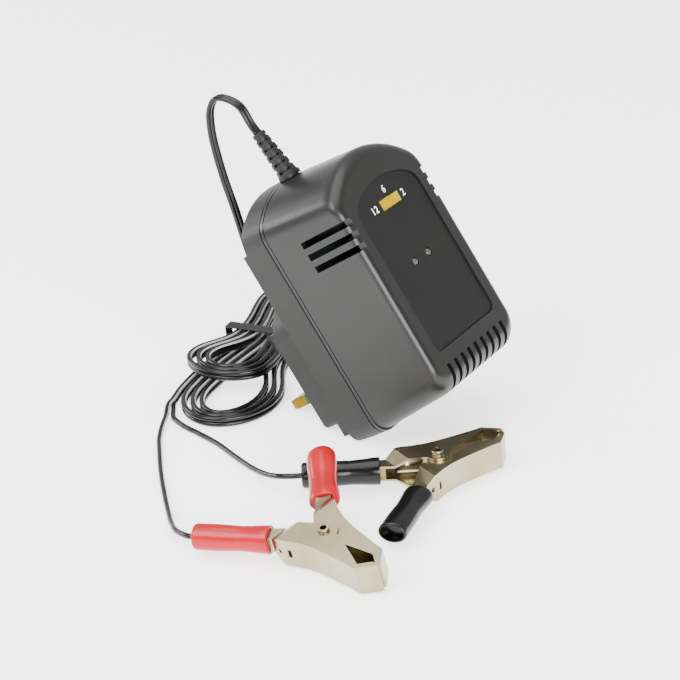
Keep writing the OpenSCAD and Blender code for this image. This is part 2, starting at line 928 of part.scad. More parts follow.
// Catmull-Rom point on the stretch between b and c, with neighbours a and d
function between(a, b, c, d, k) =
    0.5 * (2 * b + (c - a) * k + (2 * a - 5 * b + 4 * c - d) * k * k
           + (3 * b - a - 3 * c + d) * k * k * k);

// Smooth line through every route point, with the given steps on each stretch
function smooth_line(p, steps) =
    let (n = len(p))
    concat([for (i = [0:n - 2])
                for (k = [0:steps - 1])
                    between(p[max(i - 1, 0)], p[i], p[i + 1], p[min(i + 2, n - 1)],
                            k / steps)],
           [p[n - 1]]);

function heading(p, i) =
    unit(p[min(i + 1, len(p) - 1)] - p[max(i - 1, 0)]);

// Section's sideways direction at each point, carried along the line without a twist
function side_list(p, first) =
    [for (i = 0, s = unit(cross(heading(p, 0), first));
          i < len(p);
          i = i + 1,
          s = i < len(p) ? unit(s - heading(p, i) * (s * heading(p, i))) : s) s];

// Tube along a line: half width a across, half height b, with the given sides
module swept(p, a, b, sides, first = [0, 0, 1]) {
    side = side_list(p, first);
    rings = [for (i = [0:len(p) - 1])
                let (t = heading(p, i), s = side[i], u = cross(s, t))
                for (j = [0:sides - 1])
                    p[i] + s * a * cos(360 * (j + 0.5) / sides)
                         + u * b * sin(360 * (j + 0.5) / sides)];
    n = len(p);
    walls = [for (i = [0:n - 2])
                for (j = [0:sides - 1])
                    let (q = (j + 1) % sides)
                    for (f = [[i * sides + j, i * sides + q, (i + 1) * sides + j],
                              [i * sides + q, (i + 1) * sides + q, (i + 1) * sides + j]])
                        f];
    caps = concat([for (j = [1:sides - 2]) [0, j + 1, j]],
                  [for (j = [1:sides - 2])
                      [(n - 1) * sides, (n - 1) * sides + j, (n - 1) * sides + j + 1]]);
    polyhedron(concat(rings), concat(walls, caps), convexity = 12);
}

// Hank: spirals in on the upper layer and out again on the lower one, drawn in at the
// tie.  The lobes beyond the tie lie on each other; the near ones differ by layer.
hank_at = [25, 65];
hank_turns = 3;
hank_end = 2 * hank_turns + 0.375;
hank_rings = 24;
hank_step = core_d + 0.7;
hank_low = core_d + 0.1;
hank_high = hank_low + 2 * core_d + 0.6;
hank_axis = 5;
upper_lobe = [30, 15, -8];
lower_lobe = [58, 17, 9];
hidden_lobe = [42, 15, 0];
waist_half = core_d / 2 + 0.9;

// A lobe is its reach, its half width and its turn away from the hank's axis.
function hank_point(t) =
    let (k = smooth((t - hank_turns + 0.25) * 2),
         out = abs(t - hank_turns) * hank_step,
         th = 360 * t,
         lobe = cos(th) > 0 ? hidden_lobe : t < hank_turns ? upper_lobe : lower_lobe,
         pull = 4 * k * (1 - k),
         x = (lobe[0] + out - 2 * pull) * cos(th),
         waist = waist_half + 1.35 * out,
         half = lobe[1] + 1.9 * out - 5 * pull,
         y = sin(th) * (waist + (half - waist) * (1 - pow(sin(th), 4))),
         a = hank_axis + lobe[2] * smooth(abs(cos(th)) * 1.6))
    [hank_at.x + x * cos(a) - y * sin(a),
     hank_at.y + x * sin(a) + y * cos(a),
     hank_high + (hank_low - hank_high) * k];

hank_line = [for (i = [0:hank_end * hank_rings]) hank_point(i / hank_rings)];
hank_tail = hank_line[len(hank_line) - 1];
hank_out = heading(hank_line, len(hank_line) - 1);

// Clear space between two stretches of the hank, measured from a ring to a segment
function spare(q, a, b) =
    let (k = min(max((q - a) * (b - a) / ((b - a) * (b - a)), 0), 1),
         d = q - a - (b - a) * k)
    max(norm([d.x, d.y]) - core_d, abs(d.z) - 2 * core_d);

hank_gap = min([for (i = [0:len(hank_line) - 1])
                    for (j = [0:len(hank_line) - 2])
                        if (abs(i - j) > 4)
                            spare(hank_line[i], hank_line[j], hank_line[j + 1])]);
echo(hank_gap = hank_gap);

// Free flex from the strain relief over its arch and down to the hank's upper layer
relief_tip = case_point([0, relief_y + (relief_len + 0.1) * sin(relief_bend),
                         arch_top + (relief_len + 0.1) * cos(relief_bend)]);
relief_out = case_way([0, sin(relief_bend), cos(relief_bend)]);

arch_route = [
    relief_tip,
    relief_tip + relief_out * 4,
    [0, 49.2, 114.7],
    [0, 54.7, 117],
    [0, 59.7, 116.6],
    [0, 62.7, 112],
    [0, 63.3, 104],
    [0, 62.3, 96],
    [0, 59.6, 84],
    [0, 56, 72],
    [2, 54, 58],
    [8, 54.3, 44],
    [19.5, 52.2, 30],
    [37, 48, 18],
    [55, 46, 9.6],
    [66, 47.5, 7.2],
    [73, 56.5, 7],
    hank_line[0] - 5 * heading(hank_line, 0),
    hank_line[0] - 2 * heading(hank_line, 0),
    hank_line[0] - slack * heading(hank_line, 0)
];

red_route = [
    hank_tail + [0, 0, core_d / 2] + hank_out * slack,
    hank_tail + [0, 0, core_d / 2] + hank_out * 3,
    [-34.5, 71.8, 3.2],
    [-41, 68.4, 2.4],
    [-48, 65.4, 1.8],
    [-55.5, 61, 1.3],
    [-63, 54.5, 1.3],
    [-72, 45, 1.3],
    [-83, 34, 1.6],
    [-96, 23, 3],
    red_tail + red_out * 6,
    red_tail + red_out * 2.5,
    red_tail + red_out * slack
];

black_route = [
    hank_tail - [0, 0, core_d / 2] + hank_out * slack,
    hank_tail - [0, 0, core_d / 2] + hank_out * 3,
    [-34, 70.1, 1.2],
    [-39.5, 66, 1.2],
    [-43.5, 59, 1.2],
    [-46.5, 50, 1.2],
    [-50, 40, 1.2],
    [-56, 25, 1.2],
    [-63, 12, 1.2],
    [-67.5, 2, 3],
    black_tail + black_out * 6,
    black_tail + black_out * 2.5,
    black_tail + black_out * slack
];

module flex_arch() {
    color(black_pvc)
        swept(smooth_line(arch_route, 2), core_d / 2, core_d, 8, [1, 0, 0]);
}

module flex_hank() {
    color(black_pvc)
        swept(hank_line, core_d / 2, core_d, 6);
}

module red_lead() {
    color(black_pvc)
        swept(smooth_line(red_route, 2), core_d / 2, core_d / 2, 8);
}

module black_lead() {
    color(black_pvc)
        swept(smooth_line(black_route, 2), core_d / 2, core_d / 2, 8);
}

// Wire tie round the waist of the hank
module hank_tie() {
    half = waist_half + 1.35 * (hank_end - hank_turns) * hank_step + core_d / 2 + 1;
    top = hank_high + core_d + 0.3;
    color(black_pvc)
        translate([hank_at.x, hank_at.y, 0])
            rotate([0, 0, hank_axis])
                difference() {
                    box([-2.5, 2.5], [-half - 0.8, half + 0.8], [0, top + 0.8]);
                    box([-3, 3], [-half, half], [-1, top]);
                }
}

// ---------------------------------------------------------------- clips

// Side view of one half of a clip.  Its back is on the -Y side, its biting edge at +X.
function cheek(angle, eye_half, tip = 0.1) =
    concat([[jaw_len, -tip], [jaw_len - 0.2, -1.2], [nose_x, -nose_half],
            [jaw_len * 0.64, -nose_half - 0.2], [jaw_len * 0.34, -nose_half - 1],
            [jaw_len * 0.15, -nose_half - 1.7], [0, -nose_half - 2.5],
            [-5, -nose_half - 4.3], [-9, -nose_half - 6.3]],
           [on_handle(angle, handle_root, handle_t / 2),
            on_handle(angle, handle_len - 5, handle_t / 2),
            on_handle(angle, handle_len - 5, -handle_t / 2),
            on_handle(angle, handle_root, -handle_t / 2),
            on_handle(angle, handle_root - 7, -handle_t / 2 - 0.6)],
           arc([0, 0], ear_r, 172, 18, 10),
           [[eye_near, -tip], [eye_mid, -eye_half], [eye_far, -tip - 0.5],
            [eye_far + 1.4, -tip]]);

// Inside of the folded sheet: the same back, drawn in by one sheet, and open beyond
function hollow(angle) =
    [[jaw_len - sheet, 12], [jaw_len - sheet, -0.6], [jaw_len - sheet * 1.4, -1.4],
     [nose_x - sheet * 0.4, -nose_half + sheet],
     [jaw_len * 0.64, -nose_half - 0.2 + sheet],
     [jaw_len * 0.34, -nose_half - 1 + sheet],
     [jaw_len * 0.15, -nose_half - 1.7 + sheet], [-0.3, -nose_half - 2.5 + sheet],
     [-5.3, -nose_half - 4.3 + sheet], [-9.4, -nose_half - 6.3 + sheet],
     on_handle(angle, handle_root, handle_t / 2 - sheet),
     on_handle(angle, handle_len, handle_t / 2 - sheet),
     on_handle(angle, handle_len, -handle_t), on_handle(angle, handle_root - 8, -handle_t - 4),
     [-4, 12]];

// One half of a clip: folded sheet of the given width, with narrower handle
module jaw(width, bore, angle, eye_half) {
    shoulder_x = -handle_root * cos(angle) + 5.5;
    difference() {
        intersection() {
            linear_extrude(width, center = true)
                polygon(cheek(angle, eye_half));
            union() {
                box([shoulder_x, jaw_len + 1], [-30, 20], [-width / 2, width / 2]);
                // tapering neck and narrow handle, seen from the back
                rotate([90, 0, 0])
                    linear_extrude(90, center = true)
                        polygon([[-60, -handle_w / 2], [shoulder_x - 4, -handle_w / 2],
                                 [shoulder_x + eps, -width / 2],
                                 [shoulder_x + eps, width / 2],
                                 [shoulder_x - 4, handle_w / 2], [-60, handle_w / 2]]);
            }
        }
        intersection() {
            linear_extrude(width, center = true)
                polygon(hollow(angle));
            rotate([90, 0, 0])
                linear_extrude(90, center = true)
                    polygon([[-60, -handle_w / 2 + sheet],
                             [shoulder_x - 4, -handle_w / 2 + sheet],
                             [shoulder_x + sheet / 2, -width / 2 + sheet],
                             [60, -width / 2 + sheet], [60, width / 2 - sheet],
                             [shoulder_x + sheet / 2, width / 2 - sheet],
                             [shoulder_x - 4, handle_w / 2 - sheet],
                             [-60, handle_w / 2 - sheet]]);
        }
        cylinder(r = bore, h = width + 2, center = true);
        // crescent slot and cord hole in the back, near the handle
        translate([-6.6, -nose_half - 5, 0])
            cube([1.2, 5, 3.4], center = true);
        translate([-10.6, -nose_half - 7.4, 0])
            rotate([90, 0, 0])
                cylinder(r = 0.9, h = 7, center = true);
    }
}

// Sleeve of soft plastic round a handle: a wide mouth, a waist, a pocket for the handle,
// flattened to the given thickness, and open at its end where the given depth is above 0
module sleeve(angle, d, flat, open_depth) {
    r = d / 2;
    l = sleeve_len;
    rotate([0, 0, 180 + angle])
        translate([mouth_at, 0, 0])
            rotate([0, 90, 0])
                difference() {
                    flat_round(concat([[0, 0], [r + 0.35, 0], [r + 0.3, l * 0.08],
                                       [r - 0.05, l * 0.24], [r - 0.25, l * 0.38],
                                       [r - 0.1, l * 0.52], [r + 0.1, l * 0.72],
                                       [r, l - 0.6], [r - 0.5, l], [0, l]]),
                               flat, d + 2, -1, l + 1);
                    translate([-handle_w / 2 - slack, -handle_t / 2 - slack, -1])
                        cube([handle_w + 2 * slack, handle_t + 2 * slack,
                              pocket_len + 1]);
                    if (open_depth > 0)
                        flat_round([[0, l - open_depth], [r - sleeve_wall, l - open_depth],
                                    [r - sleeve_wall, l + 1], [0, l + 1]],
                                   flat - 2 * sleeve_wall, d + 2, -1, l + 2);
                }
}

// Round profile with two flats, from one height to another
module flat_round(profile, flat, across, from, to) {
    intersection() {
        rotate_extrude()
            polygon(profile);
        translate([-flat / 2, -across / 2, from])
            cube([flat, across, to - from]);
    }
}

// Hollow rivet: a tall rolled collar above the upper cheek and a low one below
module rivet() {
    half = clip_w / 2;
    rotate_extrude()
        polygon([[rivet_bore, -half - rivet_head_t], [rivet_head_r, -half - rivet_head_t],
                 [rivet_head_r, -half], [rivet_r, -half], [rivet_r, half],
                 [rivet_head_r, half], [rivet_head_r, half + rivet_collar],
                 [rivet_bore, half + rivet_collar]]);
}

// Torsion spring: coils round the rivet, with a leg out along each handle
function spring_line() =
    let (n = spring_turns * 8,
         pitch = spring_wire + 0.45,
         a0 = 270 + cable_angle,
         a1 = 90 - free_angle,
         sweep = 360 * spring_turns - a0 + a1,
         h = pitch * sweep / 360,
         leg0 = [cos(a0 - 90), sin(a0 - 90), 0],
         leg1 = [cos(a1 + 90), sin(a1 + 90), 0],
         s = [spring_r * cos(a0), spring_r * sin(a0), -h / 2],
         e = [spring_r * cos(a0 + sweep), spring_r * sin(a0 + sweep), h / 2])
    concat([s + leg0 * (spring_leg + 0.5), s + leg0 * 3],
           [for (i = [0:n]) [spring_r * cos(a0 + sweep * i / n),
                             spring_r * sin(a0 + sweep * i / n),
                             -h / 2 + h * i / n]],
           [e + leg1 * 3, e + leg1 * spring_leg]);

module spring() {
    swept(spring_line(), spring_wire / 2, spring_wire / 2, 6, [1, 0, 0]);
}

// Puts a clip on the table
module placed(at, turn, tilt, flip) {
    translate([at.x, at.y, clip_base])
        rotate([0, 0, turn])
            translate([cable_end.x, cable_end.y, -clip_w / 2])
                rotate([0, 0, tilt_axis])
                    rotate([tilt, 0, 0])
                        rotate([0, 0, -tilt_axis])
                            translate([-cable_end.x, -cable_end.y, clip_w / 2])
                                mirror([0, flip ? 1 : 0, 0])
                                    children();
}

module red_clip() {
    placed(red_at, red_turn, red_tilt, false)
        children();
}

module black_clip() {
    placed(black_at, black_turn, 0, true)
        children();
}

module fixed_jaw() {
    color(nickel)
        jaw(clip_w, rivet_r + 0.02, cable_angle, 4.3);
}

module moving_jaw() {
    color(nickel)
        mirror([0, 1, 0])
            jaw(inner_w, rivet_r + running, free_angle, 2.6);
}

module red_fixed_jaw() {
    red_clip()
        fixed_jaw();
}

module red_moving_jaw() {
    red_clip()
        moving_jaw();
}

module red_rivet() {
    color(nickel)
        red_clip()
            rivet();
}

module red_spring() {
    color("silver")
        red_clip()
            spring();
}

module red_cable_sleeve() {
    color(red_pvc)
        red_clip()
            sleeve(cable_angle, sleeve_d, sleeve_d + 1, 0);
}

module red_free_sleeve() {
    color(red_pvc)
        red_clip()
            mirror([0, 1, 0])
                sleeve(free_angle, free_sleeve_d, free_sleeve_t, 3.2);
}

module black_fixed_jaw() {
    black_clip()
        fixed_jaw();
}

module black_moving_jaw() {
    black_clip()
        moving_jaw();
}

module black_rivet() {
    color(nickel)
        black_clip()
            rivet();
}

module black_spring() {
    color("silver")
        black_clip()
            spring();
}

module black_cable_sleeve() {
    color(black_pvc)
        black_clip()
            sleeve(cable_angle, sleeve_d, sleeve_d + 1, 0);
}

module black_free_sleeve() {
    color(black_pvc)
        black_clip()
            mirror([0, 1, 0])
                sleeve(free_angle, free_sleeve_d, free_sleeve_t, 3.2);
}

front_cover();
rear_cover();
label_plate();
strain_relief();
case_screws();
live_pin();
neutral_pin();
earth_pin();
pin_sleeves();
main_board();
control_board();
board_link();
board_screws();
transformer_core();
transformer_winding();
input_capacitor();
output_capacitor();
rectifier();
switching_transistor();
heat_sink();
fuse_resistor();
switch_body();
switch_knob();
charge_lamp();
polarity_lamp();
flex_arch();
flex_hank();
hank_tie();
red_lead();
black_lead();
red_fixed_jaw();
red_moving_jaw();
red_rivet();
red_spring();
red_cable_sleeve();
red_free_sleeve();
black_fixed_jaw();
black_moving_jaw();
black_rivet();
black_spring();
black_cable_sleeve();
black_free_sleeve();
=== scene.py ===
"""Plug-in battery charger: its cords, finished covers, plug, clips, materials and light."""
import json
import math

import bpy
from mathutils import Matrix, Vector

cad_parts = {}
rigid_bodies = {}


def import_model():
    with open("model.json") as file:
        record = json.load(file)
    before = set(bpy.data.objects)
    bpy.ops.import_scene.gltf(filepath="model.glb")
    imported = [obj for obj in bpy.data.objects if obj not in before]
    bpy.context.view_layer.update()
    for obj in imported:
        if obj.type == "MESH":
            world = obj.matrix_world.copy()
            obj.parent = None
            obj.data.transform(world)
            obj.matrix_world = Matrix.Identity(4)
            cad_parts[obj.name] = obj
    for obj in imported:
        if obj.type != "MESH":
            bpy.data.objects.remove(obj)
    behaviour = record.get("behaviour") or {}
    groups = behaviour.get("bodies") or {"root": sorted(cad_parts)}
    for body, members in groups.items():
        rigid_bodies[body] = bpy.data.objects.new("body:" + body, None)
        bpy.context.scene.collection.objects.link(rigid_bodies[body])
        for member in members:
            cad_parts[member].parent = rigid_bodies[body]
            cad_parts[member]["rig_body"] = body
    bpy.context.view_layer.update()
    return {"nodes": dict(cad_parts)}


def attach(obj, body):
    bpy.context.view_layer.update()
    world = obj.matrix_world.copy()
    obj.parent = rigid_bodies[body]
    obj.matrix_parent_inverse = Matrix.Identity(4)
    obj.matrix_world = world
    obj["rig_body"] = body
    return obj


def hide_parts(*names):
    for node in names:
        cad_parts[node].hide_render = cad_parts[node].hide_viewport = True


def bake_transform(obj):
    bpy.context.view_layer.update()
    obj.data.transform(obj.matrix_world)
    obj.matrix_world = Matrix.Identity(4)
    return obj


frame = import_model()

MM = 0.001
nodes = frame["nodes"]

# ---------------------------------------------------------------- camera


def set_camera():
    """Long lens in front of the case and to its left, a little above it."""
    data = bpy.data.cameras.new("view")
    data.sensor_width = 36
    data.lens = 148.37
    data.clip_end = 20
    camera = bpy.data.objects.new("view", data)
    bpy.context.scene.collection.objects.link(camera)
    right = Vector((0.52252, -0.84901, -0.07842))
    up = Vector((0.40094, 0.16351, 0.90139))
    back = Vector((-0.75247, -0.50244, 0.42584))
    turn = Matrix((right, up, back)).transposed().to_4x4()
    camera.matrix_world = Matrix.Translation((-0.79206, -0.51480, 0.47392)) @ turn
    bpy.context.scene.camera = camera


set_camera()

# ---------------------------------------------------------------- modelling helpers


def cos_d(a):
    return math.cos(math.radians(a))


def sin_d(a):
    return math.sin(math.radians(a))


def spin(degrees, axis):
    return Matrix.Rotation(math.radians(degrees), 4, axis)


def only(piece):
    """Selects this piece alone, and makes it active."""
    bpy.ops.object.select_all(action="DESELECT")
    piece.select_set(True)
    bpy.context.view_layer.objects.active = piece


def apply(modifier, piece):
    """Makes a modifier's result part of the piece's mesh."""
    only(piece)
    bpy.ops.object.modifier_apply(modifier=modifier.name)


def joined(piece, tool, operation):
    """Adds or cuts one solid with another, and clears the second away."""
    change = piece.modifiers.new("change", "BOOLEAN")
    change.operation = operation
    change.solver = "EXACT"
    change.object = tool
    apply(change, piece)
    bpy.data.objects.remove(tool, do_unlink=True)


def bevelled(piece, width, segments, sharp):
    """Eases every edge that turns by more than sharp degrees; the width is in mm."""
    edge = piece.modifiers.new("edge", "BEVEL")
    edge.width = width * MM
    edge.segments = segments
    edge.limit_method = "ANGLE"
    edge.angle_limit = math.radians(sharp)
    apply(edge, piece)


def face_outward(piece):
    """Turns every face of a closed piece outward."""
    only(piece)
    bpy.ops.object.mode_set(mode="EDIT")
    bpy.ops.mesh.select_all(action="SELECT")
    bpy.ops.mesh.normals_make_consistent(inside=False)
    bpy.ops.object.mode_set(mode="OBJECT")


def coat(piece, material):
    """Gives a piece this material and no other."""
    piece.data.materials.clear()
    piece.data.materials.append(material)


# ---------------------------------------------------------------- materials


def colour(code):
    """An sRGB hex colour as Blender's linear values."""
    parts = [int(code[i:i + 2], 16) / 255 for i in (1, 3, 5)]
    return [c / 12.92 if c <= 0.04045 else ((c + 0.055) / 1.055) ** 2.4 for c in parts] + [1]


WHITE, BLACK = (1, 1, 1, 1), (0, 0, 0, 1)
# half of a core's printed stripe, as a share of the way round the core
STRIPE_HALF = 0.057


def add(tree, kind, links=None, **settings):
    """Adds a node with its settings; a link is socket name: (node, output)."""
    node = tree.nodes.new("ShaderNode" + kind)
    for name, value in settings.items():
        if name in node.inputs:
            node.inputs[name].default_value = value
        elif name.replace("_", " ") in node.inputs:
            node.inputs[name.replace("_", " ")].default_value = value
        else:
            setattr(node, name, value)
    for name, (source, output) in (links or {}).items():
        tree.links.new(source.outputs[output], node.inputs[name])
    return node


def surface(name, **settings):
    """A new material, its nodes, its Principled shader with settings, and its coordinates."""
    material = bpy.data.materials.new(name)
    material.use_nodes = True
    tree = material.node_tree
    shader = tree.nodes["Principled BSDF"]
    for key, value in settings.items():
        shader.inputs[key.replace("_", " ")].default_value = value
    place = add(tree, "TexCoord")
    return material, tree, shader, place


def grain(tree, shader, place, per_mm, depth_mm, strength, detail=2.0):
    """Fine relief of the given grains per millimetre and depth."""
    noise = add(tree, "TexNoise", {"Vector": (place, "Object")},
                Scale=per_mm * 1000, Detail=detail, Roughness=0.6)
    bump = add(tree, "Bump", {"Height": (noise, "Fac")},
               Distance=depth_mm * MM, Strength=strength)
    tree.links.new(bump.outputs["Normal"], shader.inputs["Normal"])


def ramp_between(ramp, low, high, first, second):
    """Puts a ramp's two stops at their places, with their linear colours."""
    for stop, at, tone in zip(ramp.color_ramp.elements, (low, high), (first, second)):
        stop.position = at
        stop.color = tone


def mottled(tree, shader, place, dark, light, per_mm):
    """Slow change of colour between two tones; gives back the node that holds it."""
    noise = add(tree, "TexNoise", {"Vector": (place, "Object")},
                Scale=per_mm * 1000, Detail=3.0)
    ramp = add(tree, "ValToRGB", {"Fac": (noise, "Fac")})
    ramp_between(ramp, 0.35, 0.65, colour(dark), colour(light))
    tree.links.new(ramp.outputs["Color"], shader.inputs["Base Color"])
    return ramp


def varied_gloss(tree, shader, place, low, high, per_mm):
    """Roughness that wanders between two values, as handling leaves it."""
    noise = add(tree, "TexNoise", {"Vector": (place, "Object")},
                Scale=per_mm * 1000, Detail=4.0)
    span = add(tree, "MapRange", {"Value": (noise, "Fac")})
    span.inputs["To Min"].default_value = low
    span.inputs["To Max"].default_value = high
    tree.links.new(span.outputs["Result"], shader.inputs["Roughness"])


def moulded_abs():
    # ABS from a spark-eroded mould: an even satin that spreads highlights along edges.
    material, tree, shader, place = surface("moulded_abs", IOR=1.5,
                                            Specular_IOR_Level=0.36)
    mottled(tree, shader, place, "#111110", "#151514", 0.03)
    varied_gloss(tree, shader, place, 0.31, 0.35, 0.05)
    # spark grain of about 0.3 mm
    grain(tree, shader, place, 3, 0.004, 0.3, 1.0)
    return material


def moulded_abs_rear():
    # The same ABS from the rear cover's mould, a touch lighter and drier.
    material, tree, shader, place = surface("moulded_abs_rear", IOR=1.5,
                                            Specular_IOR_Level=0.3)
    mottled(tree, shader, place, "#171716", "#1c1c1b", 0.03)
    varied_gloss(tree, shader, place, 0.44, 0.52, 0.05)
    grain(tree, shader, place, 3, 0.005, 0.3, 1.0)
    return material


def printed_film():
    # Polycarbonate film with a velvet face: darker and smoother than the case.
    material, tree, shader, place = surface("printed_film", IOR=1.5,
                                            Specular_IOR_Level=0.22)
    mottled(tree, shader, place, "#0f0f0f", "#131312", 0.05)
    varied_gloss(tree, shader, place, 0.30, 0.36, 0.08)
    grain(tree, shader, place, 4, 0.002, 0.3, 1.0)
    return material


def screen_ink():
    # Matt white screen ink, a little thin in places.
    material, tree, shader, place = surface("screen_ink", Roughness=0.55)
    mottled(tree, shader, place, "#d9dad8", "#f2f2f0", 2.0)
    return material


def grommet_pvc():
    # Soft PVC moulded over the flex: dull, with a slight bloom.
    material, tree, shader, place = surface("grommet_pvc", IOR=1.5,
                                            Specular_IOR_Level=0.3)
    mottled(tree, shader, place, "#0e0e0e", "#141413", 0.2)
    varied_gloss(tree, shader, place, 0.42, 0.55, 0.2)
    grain(tree, shader, place, 3, 0.02, 0.4)
    return material


def cable_pvc(name, striped):
    # Extruded PVC: smooth and soft-glossy along its length, one core marked by a stripe.
    material, tree, shader, place = surface(name, IOR=1.5, Specular_IOR_Level=0.32)
    varied_gloss(tree, shader, place, 0.22, 0.30, 0.1)
    dark = mottled(tree, shader, place, "#070707", "#0d0d0c", 0.15)
    if striped:
        around = add(tree, "Attribute", attribute_name="around")
        edge = add(tree, "ValToRGB", {"Fac": (around, "Fac")})
        ramp_between(edge, STRIPE_HALF - 0.005, STRIPE_HALF + 0.005, WHITE, BLACK)
        mix = add(tree, "Mix", {"Factor": (edge, "Color")}, data_type="RGBA")
        tree.links.new(dark.outputs["Color"], mix.inputs["A"])
        mix.inputs["B"].default_value = colour("#b4b4b1")
        tree.links.new(mix.outputs["Result"], shader.inputs["Base Color"])
    grain(tree, shader, place, 1.2, 0.01, 0.25)
    return material


def dipped_vinyl(name, dark, light):
    # Vinyl dipped over a former: wet-looking, with slow waves and a soft inner glow.
    material, tree, shader, place = surface(name, IOR=1.5, Specular_IOR_Level=0.3,
                                            Subsurface_Weight=0.05, Subsurface_Scale=0.002)
    mottled(tree, shader, place, dark, light, 0.08)
    varied_gloss(tree, shader, place, 0.16, 0.24, 0.12)
    grain(tree, shader, place, 0.25, 0.12, 0.35, 1.0)
    return material


def nickel_plate():
    # Bright nickel on stamped steel: warm white metal, soft reflections, faint drawn marks.
    material, tree, shader, place = surface("nickel_plate", Metallic=1.0)
    mottled(tree, shader, place, "#968b6e", "#a79c80", 0.06)
    varied_gloss(tree, shader, place, 0.22, 0.30, 0.2)
    grain(tree, shader, place, 3, 0.002, 0.2)
    return material


def sheet_brass():
    # Rolled brass pin: yellow, with a fine rubbed surface.
    material, tree, shader, place = surface("sheet_brass", Metallic=1.0)
    mottled(tree, shader, place, "#5f4f0e", "#776318", 0.3)
    varied_gloss(tree, shader, place, 0.22, 0.36, 0.4)
    grain(tree, shader, place, 4, 0.006, 0.4)
    return material


def plain(name, dark, light, rough, metal=0.0, per_mm=0.5, relief=0.01, **settings):
    # A smaller part or an inside one, with its own tone, gloss and grain.
    material, tree, shader, place = surface(name, Metallic=metal, **settings)
    mottled(tree, shader, place, dark, light, per_mm)
    varied_gloss(tree, shader, place, rough - 0.05, rough + 0.05, per_mm)
    grain(tree, shader, place, 4, relief, 0.4)
    return material


case_front = moulded_abs()
case_rear = moulded_abs_rear()
film = printed_film()
ink = screen_ink()
grommet = grommet_pvc()
black_core = cable_pvc("cable_pvc_plain", False)
striped_core = cable_pvc("cable_pvc_striped", True)
red_vinyl = dipped_vinyl("dipped_vinyl_red", "#9a0011", "#a50216")
black_vinyl = dipped_vinyl("dipped_vinyl_black", "#050505", "#090909")
nickel = nickel_plate()
brass = sheet_brass()
# Acetal knob, bright and slightly waxy
yellow_acetal = plain("acetal_yellow", "#9a8000", "#a68c00", 0.4, per_mm=0.15,
                      Specular_IOR_Level=0.08)
# Nylon of the pin sleeves and the dummy earth pin
black_nylon = plain("nylon_black", "#0c0c0c", "#131313", 0.38)
# Epoxy lamp body, grey and clear
clear_epoxy = plain("epoxy_clear", "#333332", "#3c3c3a", 0.24, relief=0.001, IOR=1.54,
                    Specular_IOR_Level=0.35)
zinc_steel = plain("zinc_plated_steel", "#a8a8a4", "#c0c0bb", 0.3, metal=1.0)
spring_steel = plain("spring_steel", "#8c8a84", "#a09e97", 0.28, metal=1.0)
board_laminate = plain("glass_epoxy_board", "#12291a", "#18331f", 0.4)
ferrite = plain("fired_ferrite", "#2a2826", "#35322f", 0.5)
tape = plain("polyester_tape", "#c49a1f", "#d5ac33", 0.3)
can_sleeve = plain("shrink_sleeve_blue", "#222d42", "#2b3850", 0.25)
moulding_black = plain("epoxy_moulding_compound", "#1b1b1b", "#252525", 0.45)
lacquer_green = plain("resistor_lacquer", "#6f8260", "#83966f", 0.3)
extruded_aluminium = plain("extruded_aluminium", "#9ea2a5", "#b2b6b8", 0.32, metal=1.0)
glass_nylon = plain("glass_filled_nylon", "#7d7d7b", "#8e8e8b", 0.5)
tinned_wire = plain("tinned_copper", "#b9b7b2", "#cbc9c3", 0.3, metal=1.0)

# ---------------------------------------------------------------- measures from the source

CASE_D, CASE_H, CASE_LOW, TOP_DRAFT = 50.0, 98.5, 0.8, 2.6
REAR_D, REAR_LOW, REAR_CHAMFER, BOSS_D = 12.5, 2.1, 0.8, 12.8
LABEL_T, LABEL_RECESS = 0.4, 1.0
PIN_Z, PIN_H, PIN_LEN, PIN_TIP_DROP = 22.7, 4.0, 17.7, 0.4
CORE_D = 2.1
CORE_R = CORE_D / 2

# the case stands on its lower rear edge and on the tips of its flat pins
REST_Z = REAR_LOW - REAR_CHAMFER * (REAR_LOW - CASE_LOW) / REAR_D
LEAN = math.degrees(math.atan2(PIN_Z - PIN_H / 2 + PIN_TIP_DROP - REST_Z,
                               BOSS_D + PIN_LEN + REAR_CHAMFER))
REST_DROP = REST_Z * cos_d(LEAN) + REAR_CHAMFER * sin_d(LEAN)
# Y of the rear pad's plane, which centres the leaning charger on the origin
STAND_Y = -8.7

# strain relief on the arch of the rear cover
RELIEF_LEN, RELIEF_BEND, RELIEF_Y = 20.0, 8.0, -15.0
ARCH_TOP = CASE_H - TOP_DRAFT * (-RELIEF_Y - REAR_D) / (CASE_D - REAR_D)

# clips, in their own measures from the rivet
CLIP_W, RIVET_HEAD_T, HANDLE_LEN = 12.0, 0.5, 48.8
CABLE_ANGLE, FREE_ANGLE = 32.0, 38.0
HANDLE_W, HANDLE_T = 6.0, 5.4


def case_way(v):
    """A direction in the upright case, leant back."""
    c, s = cos_d(LEAN), sin_d(LEAN)
    return Vector((v[0], v[1] * c + v[2] * s, v[2] * c - v[1] * s))


def case_point(p):
    """A point of the upright case, leant back, in millimetres."""
    return case_way(p) + Vector((0, STAND_Y, -REST_DROP))


# the way out along the cable handle, and its end
CABLE_WAY = Vector((-cos_d(CABLE_ANGLE), -sin_d(CABLE_ANGLE), 0))
CABLE_END = Vector((-HANDLE_LEN * cos_d(CABLE_ANGLE), -HANDLE_LEN * sin_d(CABLE_ANGLE), 0))
# a clip tilts about the line from there to one side of its tip
TIP_X, TIP_Y = 28.0, -3.0
TILT_AXIS = math.degrees(math.atan2(TIP_Y - CABLE_END.y, TIP_X - CABLE_END.x))


